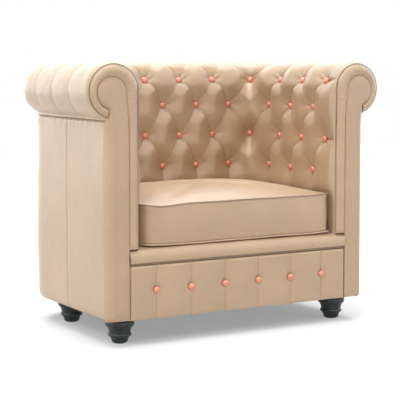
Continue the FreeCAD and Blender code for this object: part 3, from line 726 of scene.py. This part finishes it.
def build_facing_piping(side_name, mirror):
    """Cord outside the band, sunk deeper along the upright part."""
    front = FRONT_Y - 0.8
    path = []
    for a in np.linspace(math.radians(254.0), 0.0, 80)[:-1]:
        path.append(section_point(BAND_U + PIPING_R * math.cos(a), BAND_Z + PIPING_R * math.sin(a), front))
    for z in np.linspace(BAND_Z, DECK_Z - 1.0, 60):
        sunk = 3.0 * float(smoothstep(-z, -600.0, -500.0))
        path.append(section_point(BAND_U + PIPING_R, z, front + sunk))
    verts, faces = tube(path, 1.2)
    if mirror:
        verts, faces = flipped_x(verts, faces)
    make_mesh("facing_piping_" + side_name + "_cord", verts, faces, TRIM, "chair",
              ["facing_piping_" + side_name])


# Outside panels ---------------------------------------------------------

FACING_WRAP = 12.0                               # the facing turns round the edge by this much
SIDE_SEAM = 238.0                                # distance of the upright side seam from the front
UNDER_R = 22.0                                   # height over which the hide turns under at the bottom
OUTER_ARM = BACK_Y - CORNER_R - FRONT_Y
OUTER_ARC = CORNER_R * math.pi / 2
SIDE_RUN = OUTER_ARM + OUTER_ARC
BACK_END = SIDE_RUN + 2 * (HALF_WIDTH - CORNER_R)
OUTER_RUN = BACK_END + SIDE_RUN


def outside_place(d):
    """Plan point and inward direction at distance d round the outside, from one arm's front."""
    side = 1.0
    if d > OUTER_RUN / 2:
        d, side = OUTER_RUN - d, -1.0
    if d <= OUTER_ARM:
        x, y, nx, ny = -HALF_WIDTH, FRONT_Y + d, 1.0, 0.0
    elif d <= SIDE_RUN:
        a = (d - OUTER_ARM) / CORNER_R
        x = -(HALF_WIDTH - CORNER_R) - CORNER_R * math.cos(a)
        y = BACK_Y - CORNER_R + CORNER_R * math.sin(a)
        nx, ny = math.cos(a), -math.sin(a)
    else:
        x, y, nx, ny = -(HALF_WIDTH - CORNER_R) + (d - SIDE_RUN), BACK_Y, 0.0, -1.0
    return x * side, y, nx * side, ny


def build_outside(name, start, end, seams, node):
    """One outside hide between two seams, rounded under at the bottom, gathered at the top."""
    ds = list(np.arange(start, end, 5.0)) + [end]
    for seam in seams:
        ds += [seam + k for k in (-6.0, -3.0, -1.5, 0.0, 1.5, 3.0, 6.0)]
    ds = sorted({round(float(d), 2) for d in ds if start <= d <= end})
    tucks = [26.0, 17.0, 11.0]
    zs = [BASE_Z - 0.6] * len(tucks) + list(np.linspace(BASE_Z, BASE_Z + UNDER_R, 9))
    zs += list(np.linspace(96, 500, 60)) + list(np.linspace(506, JOINT_Z, 30))
    verts = []
    for k, z in enumerate(zs):
        for d in ds:
            x, y, nx, ny = outside_place(d)
            u = 0.0
            if k < len(tucks):
                u = tucks[k]
            elif z < BASE_Z + UNDER_R:
                t = 1 - (z - BASE_Z) / UNDER_R
                u = 11.0 * (1 - math.sqrt(max(0.0, 1 - t * t)))
            u -= 1.6 * math.sin(math.pi * (z - BASE_Z) / (JOINT_Z - BASE_Z))
            u += wobble(x, y, z, 150.0, 5.0) * 1.5 + wobble(x, y, z, 45.0, 2.0) * 0.4
            top = float(smoothstep(z, 545.0, JOINT_Z))
            gather = 1.1 * math.sin(d / 4.7 + 2.5 * math.sin(d / 31.0))
            u += top * (gather * (0.5 + 0.5 * wobble(d, 0, 0, 30.0, 9.0)))
            u += 4.0 * float(smoothstep(z, JOINT_Z - 7.0, JOINT_Z))
            for seam in seams + [start, end]:
                u += 2.4 * math.exp(-abs(d - seam) / 1.8)
            verts.append((x + u * nx, y + u * ny, z))
    faces = grid_faces(len(zs), len(ds), flip=True)
    obj = make_mesh(name, verts, faces, LEATHER, "chair", [node])


# Front rail -------------------------------------------------------------

APRON_STEP = 103.3
APRON_BUTTON_Z = 139.6
APRON_TOP = 206.5
APRON_PLEAT = 8.0                                # depth of the pleats
APRON_DIMPLE = 4.5
FRONT_HALF = 335.5
SIDE_GAP = 3.0                                   # between the deck and the inside walls


def quarter_round(share):
    """Height of a quarter circle: none at 0, full at 1."""
    return math.sqrt(max(0.0, 1 - (1 - share) ** 2))


def build_apron():
    """Padded apron with an upright pleat and a sunk button at every step."""
    xs = np.linspace(-FRONT_HALF, FRONT_HALF, 271)
    zs = np.linspace(BASE_Z - 1, APRON_TOP, 61)
    verts = []
    for z in zs:
        for x in xs:
            phase = math.pi * (x / APRON_STEP + 0.5)
            puff = abs(math.sin(phase)) ** 0.42
            seat = (round(x / APRON_STEP - 0.5) + 0.5) * APRON_STEP
            dimple = 0.0
            if abs(seat) < 300.0:
                away = math.hypot(x - seat, z - APRON_BUTTON_Z)
                dimple = math.exp(-((away / 13.0) ** 1.5))
            edge = max(0.0, min(1.0, (z - BASE_Z + 1) / 10.0, (APRON_TOP - z) / 7.0))
            side = min(1.0, (FRONT_HALF - abs(x)) / 9.0)
            lift = APRON_PLEAT * puff + 0.8 - APRON_DIMPLE * dimple + 0.7 * wobble(x, z, 0.0, 38.0, 6.0)
            verts.append((x, FRONT_Y - lift * quarter_round(edge) * quarter_round(side), z))
    faces = grid_faces(len(zs), len(xs))
    obj = make_mesh("apron_hide", verts, faces, LEATHER, "chair", ["apron"])
    seats = [((k + 0.5) * APRON_STEP, FRONT_Y - 3.4, APRON_BUTTON_Z) for k in range(-3, 3)]
    verts, faces = joined([dome(seat, (0, -1, 0)) for seat in seats])
    make_mesh("domed_buttons_apron", verts, faces, BUTTON_LEATHER, "chair",
              ["buttons_apron"])


def build_lip_and_deck():
    """Rounded rail lip running back into the deck under the cushion."""
    section = [(FRONT_Y - 1, 210.0), (FRONT_Y - 5, 210.5), (FRONT_Y - 8.5, 214.0), (FRONT_Y - 9.5, 222.0),
               (FRONT_Y - 8.5, 232.0), (FRONT_Y - 4.5, 240.0), (FRONT_Y + 2, 245.0), (FRONT_Y + 12, 247.2),
               (FRONT_Y + 24, 247.0), (FRONT_Y + 30, 245.2), (FRONT_Y + 60, 245.5), (FRONT_Y + 200, 246.0),
               (FRONT_Y + 440, 246.0)]
    xs = np.linspace(-FRONT_HALF, FRONT_HALF, 169)
    fine = []
    for a, b in zip(section, section[1:]):
        for t in (0.0, 0.33, 0.67):
            fine.append((a[0] + (b[0] - a[0]) * t, a[1] + (b[1] - a[1]) * t))
    fine.append(section[-1])
    smooth = fine[:1] + [
        ((p[0] + 2 * q[0] + r[0]) / 4, (p[1] + 2 * q[1] + r[1]) / 4)
        for p, q, r in zip(fine, fine[1:], fine[2:])] + fine[-1:]
    limit = HALF_WIDTH - ARM_WALL - SIDE_GAP
    verts = []
    for y, z in smooth:
        for x in xs:
            n = 0.6 * wobble(x, y, z, 55.0, 8.0)
            px = max(-limit, min(limit, x)) if y > FRONT_Y + 28 else x
            verts.append((px, y - n, z + n))
    faces = grid_faces(len(smooth), len(xs))
    obj = make_mesh("rail_lip_and_deck", verts, faces, LEATHER, "chair", ["rail_lip"])
    path = [(x, FRONT_Y - 5.5 + wobble(x, 0, 0, 70.0) * 0.4, 208.6 + wobble(x, 9, 0, 90.0) * 0.5)
            for x in np.linspace(-FRONT_HALF + 1, FRONT_HALF - 1, 90)]
    verts, faces = tube(path, 1.5)
    make_mesh("rail_piping_cord", verts, faces, TRIM, "chair", ["rail_piping"])


# Cushion ----------------------------------------------------------------

CUSHION = {"half": 288.0, "front": -267.0, "back": 137.0, "low": 251.5, "high": 357.0}
CUSHION_CORNERS = {"front_left": 14.0, "back": 46.0, "front_right": 40.0}     # plan radii
CUSHION_ROOM = ((-292.5, 292.5), (-274.5, 141.5), (248.5, 420.0))             # x, y, z the cover stays in
CROWN = 33.0
BLOW_UP = 24.0                                   # the most that the inflated cover moves
CLOTH_FRAMES = 24


def plan_outline(grow, count=232):
    """Rounded rectangle, evenly stepped, starting at the middle of the front."""
    half, y0, y1 = CUSHION["half"] + grow, CUSHION["front"] - grow, CUSHION["back"] + grow
    sharp, back, blunt = [CUSHION_CORNERS[k] + grow for k in ("front_left", "back", "front_right")]
    corners = [(half - sharp, y0 + sharp, sharp, -90), (half - back, y1 - back, back, 0),
               (-half + back, y1 - back, back, 90), (-half + blunt, y0 + blunt, blunt, 180)]
    path = [(0.0, y0)]
    for cx, cy, r, a0 in corners:
        for a in np.radians(np.linspace(a0, a0 + 90, 13)):
            path.append((cx + r * math.cos(a), cy + r * math.sin(a)))
    path.append((0.0, y0))
    path = np.array(path)
    steps = np.hypot(*np.diff(path, axis=0).T)
    along = np.concatenate([[0], np.cumsum(steps)])
    at = np.linspace(0, along[-1], count + 1)[:-1]
    x, y = np.interp(at, along, path[:, 0]), np.interp(at, along, path[:, 1])
    pull = smoothstep(x, 150.0, half) * smoothstep(-y, -y0 - 70.0, -y0)
    return np.column_stack([x + 6.0 * pull, y - 2.0 * pull])


def seam_height(x, y, base):
    """The piping lines lift a little at the corners, sag beside the blunt one and waver."""
    corner = max(0.0, abs(x) / CUSHION["half"] - 0.82) * max(0.0, abs(y + 61) / 205.0 - 0.7)
    front = float(smoothstep(-y, -CUSHION["front"] - 60.0, -CUSHION["front"]))
    sag = 5.0 * math.exp(-(((x + 235.0) / 50.0) ** 2)) * front if base > 300 else 0.0
    return base + 50.0 * corner - sag + wobble(x, y, 0, 120.0, base) * 1.4


def dome_share(x, y):
    """Height share of the crowned top: full in the middle, none along the edges."""
    ux = min(1.0, abs(x) / CUSHION["half"])
    uy = min(1.0, abs(2 * y - CUSHION["front"] - CUSHION["back"]) / (CUSHION["back"] - CUSHION["front"]))
    return ((1 - ux ** 3) * (1 - uy ** 3)) ** 0.8


def cushion_shell():
    """Closed box of rings: bottom, boxing, top. Returns points, faces and the two seam rings."""
    outline = plan_outline(0.0)
    count = len(outline)
    centre = np.array([0.0, (CUSHION["front"] + CUSHION["back"]) / 2])
    insets = [0.0, 0.03, 0.065, 0.11, 0.16, 0.22, 0.29, 0.37, 0.46, 0.56, 0.67, 0.78, 0.88, 0.95]
    rings = []
    for t in reversed(insets[1:]):
        rings.append(("flat", t))
    rings.append(("low", 0.0))
    for t in np.linspace(0, 1, 13)[1:-1]:
        rings.append(("wall", t))
    rings.append(("high", 0.0))
    for t in insets[1:]:
        rings.append(("crown", t))
    verts = []
    seams = []
    for kind, t in rings:
        if kind in ("low", "high"):
            seams.append(range(len(verts), len(verts) + count))
        for x, y in outline:
            low, high = seam_height(x, y, CUSHION["low"]), seam_height(x, y, CUSHION["high"])
            shrink = t if kind in ("flat", "crown") else 0.0
            px, py = x + (centre[0] - x) * shrink, y + (centre[1] - y) * shrink
            z = {"flat": low, "low": low, "high": high,
                 "wall": low + (high - low) * t,
                 "crown": high + CROWN * dome_share(px, py) * float(smoothstep(t, -0.02, 0.13))}[kind]
            out = 3.0 * math.sin(math.pi * t) if kind == "wall" else 0.0
            n = np.array([x, y]) - centre
            n = n / np.linalg.norm(n)
            verts.append((px + n[0] * out, py + n[1] * out, z))
    faces = grid_faces(len(rings), count, closed=True)
    base = len(verts)
    verts.append((centre[0], centre[1], CUSHION["low"]))
    verts.append((centre[0], centre[1], CUSHION["high"] + CROWN * 0.995))
    last = (len(rings) - 1) * count
    faces += [(base, (k + 1) % count, k) for k in range(count)]
    faces += [(last + k, last + (k + 1) % count, base + 1) for k in range(count)]
    return verts, faces, seams


def relax_as_cloth(obj, pinned):
    """Blow the cover up against its pinned seams, then keep the resulting shape."""
    group = obj.vertex_groups.new(name="seams")
    group.add([int(k) for k in pinned], 1.0, "REPLACE")
    modifier = obj.modifiers.new("Cloth", "CLOTH")
    settings = modifier.settings
    settings.quality = 6
    settings.mass = 0.25
    settings.tension_stiffness = 18.0
    settings.compression_stiffness = 18.0
    settings.shear_stiffness = 6.0
    settings.bending_stiffness = 0.9
    settings.use_pressure = True
    settings.uniform_pressure_force = 3.6
    settings.shrink_min = 0.0
    settings.vertex_group_mass = "seams"
    settings.effector_weights.gravity = 0.0
    modifier.collision_settings.use_collision = False
    modifier.point_cache.frame_start = 1
    modifier.point_cache.frame_end = CLOTH_FRAMES
    scene = bpy.context.scene
    for f in range(1, CLOTH_FRAMES + 1):
        scene.frame_set(f)
    graph = bpy.context.evaluated_depsgraph_get()
    settled = np.array([v.co[:] for v in obj.evaluated_get(graph).data.vertices])
    obj.modifiers.remove(modifier)
    obj.vertex_groups.clear()
    scene.frame_set(1)
    return settled


def ironed(faces, points, fixed, rounds=10):
    """Smooth the small creases out of a settled cover, leaving its seams."""
    work = bmesh.new()
    verts = [work.verts.new(p) for p in points]
    for face in faces:
        work.faces.new([verts[k] for k in face])
    held = set(fixed)
    free = [v for k, v in enumerate(verts) if k not in held]
    for _ in range(rounds):
        bmesh.ops.smooth_vert(
            work, verts=free, factor=0.5, use_axis_x=True, use_axis_y=True, use_axis_z=True)
    smooth = np.array([v.co[:] for v in verts])
    work.free()
    return smooth


def build_cushion():
    """Loose cushion: the cover is blown up as cloth, smoothed and kept inside its room."""
    verts, faces, seams = cushion_shell()
    obj = make_mesh("seat_cushion_cover", verts, faces, LEATHER, "seat_cushion",
                    ["cushion_cover", "cushion_core"])
    rest = np.array(verts) * MM
    pinned = [k for ring in seams for k in ring]
    settled = relax_as_cloth(obj, pinned)
    settled = ironed(faces, settled, pinned)
    move = settled - rest
    size = np.linalg.norm(move, axis=1, keepdims=True)
    settled = rest + move * np.minimum(1.0, BLOW_UP * MM / np.maximum(size, 1e-9))
    for axis, (low, high) in enumerate(CUSHION_ROOM):
        settled[:, axis] = np.clip(settled[:, axis], low * MM, high * MM)
    obj.data.vertices.foreach_set("co", settled.ravel())
    sub = obj.modifiers.new("smooth", "SUBSURF")
    sub.levels = 1
    sub.render_levels = 1
    for base, level, radius, material, slot in (
            (CUSHION["low"], "lower", 2.2, LEATHER, "leather"),
            (CUSHION["high"], "upper", 1.7, TRIM, "dark_trim")):
        ring = [(x, y, seam_height(x, y, base)) for x, y in plan_outline(1.4, 300)]
        cord_verts, cord_faces = tube(ring, radius, closed=True)
        make_mesh("cushion_piping_" + level, cord_verts, cord_faces, material, "seat_cushion",
                  ["cushion_piping"])


# Stage ------------------------------------------------------------------

def build_stage():
    mesh = bpy.data.meshes.new("floor")
    size = 6.0
    corners = [(-size, -size, 0), (size, -size, 0), (size, size, 0), (-size, size, 0)]
    mesh.from_pydata(corners, [], [(0, 1, 2, 3)])
    n = Nodes("pale_floor")
    patch = n.noise(0.6, 2.0)
    tone = n.ramp(patch.outputs["Fac"], 0.3, 0.7, (0.60, 0.60, 0.60), (0.62, 0.62, 0.62))
    n.put(n.shader, "Base Color", tone.outputs["Color"])
    n.shader.inputs["Roughness"].default_value = 0.9
    n.shader.inputs["Emission Color"].default_value = (1.0, 1.0, 1.0, 1.0)
    n.shader.inputs["Emission Strength"].default_value = 0.28
    mesh.materials.append(n.material)
    floor = bpy.data.objects.new("floor", mesh)
    bpy.context.scene.collection.objects.link(floor)


def sun_light(name, towards, power, angle, color):
    """Broad even light from a direction, like a large window."""
    data = bpy.data.lights.new(name, "SUN")
    data.energy = power
    data.angle = math.radians(angle)
    data.color = color
    obj = bpy.data.objects.new(name, data)
    obj.rotation_euler = Vector(towards).to_track_quat("Z", "Y").to_euler()
    bpy.context.scene.collection.objects.link(obj)


def build_light():
    """Pale world, brighter in reflections and plain white to the camera, with four soft suns."""
    world = bpy.data.worlds.new("studio")
    world.use_nodes = True
    tree = world.node_tree
    ray = tree.nodes.new("ShaderNodeLightPath")
    seen = tree.nodes["Background"].outputs[0]
    tree.nodes["Background"].inputs["Color"].default_value = (1.0, 0.97, 0.94, 1.0)
    tree.nodes["Background"].inputs["Strength"].default_value = 0.15
    layers = (("Is Glossy Ray", (0.96, 0.98, 1.0), 2.9), ("Is Camera Ray", (1.0, 1.0, 1.0), 1.0))
    for kind, color, strength in layers:
        glow = tree.nodes.new("ShaderNodeBackground")
        glow.inputs["Color"].default_value = (*color, 1.0)
        glow.inputs["Strength"].default_value = strength
        pick = tree.nodes.new("ShaderNodeMixShader")
        tree.links.new(ray.outputs[kind], pick.inputs[0])
        tree.links.new(seen, pick.inputs[1])
        tree.links.new(glow.outputs[0], pick.inputs[2])
        seen = pick.outputs[0]
    tree.links.new(seen, tree.nodes["World Output"].inputs["Surface"])
    bpy.context.scene.world = world
    sun_light("key", (-0.57, -0.32, 0.76), 1.72, 50.0, (1.0, 0.985, 0.965))
    sun_light("top", (0.05, 0.18, 0.98), 3.0, 50.0, (0.94, 0.97, 1.0))
    sun_light("front", (0.45, -0.75, 0.50), 0.32, 60.0, (1.0, 0.97, 0.93))
    sun_light("side", (-0.90, -0.10, 0.38), 0.12, 50.0, (0.92, 0.96, 1.0))
    bpy.context.scene.view_settings.view_transform = "Standard"


CAMERA_DOWN = 3.92                               # degrees below the horizontal
CAMERA_TURN = 30.18                              # degrees from straight ahead, towards the chair's left


def build_camera():
    data = bpy.data.cameras.new("camera")
    data.sensor_width = 36.0
    data.lens = 117.13
    data.shift_y = -0.118
    data.clip_end = 50.0
    camera = bpy.data.objects.new("camera", data)
    camera.location = (-1.82586, -3.19832, 0.71883)
    camera.rotation_euler = Euler((math.radians(90.0 - CAMERA_DOWN), 0.0, math.radians(-CAMERA_TURN)))
    bpy.context.scene.collection.objects.link(camera)
    bpy.context.scene.camera = camera


finish_cad_nodes()
build_tufted()
build_buttons()
for name, mirror in (("right", False), ("left", True)):
    build_band(name, mirror)
    build_facing_panel(name, mirror)
    build_facing_piping(name, mirror)
build_outside("outside_hide_right", FACING_WRAP, SIDE_RUN, [SIDE_SEAM], "outside_panel_arm_right")
build_outside("outside_hide_back", SIDE_RUN, BACK_END, [], "outside_panel_back")
build_outside("outside_hide_left", BACK_END, OUTER_RUN - FACING_WRAP, [OUTER_RUN - SIDE_SEAM],
              "outside_panel_arm_left")
build_apron()
build_lip_and_deck()
build_cushion()
build_stage()
build_light()
build_camera()
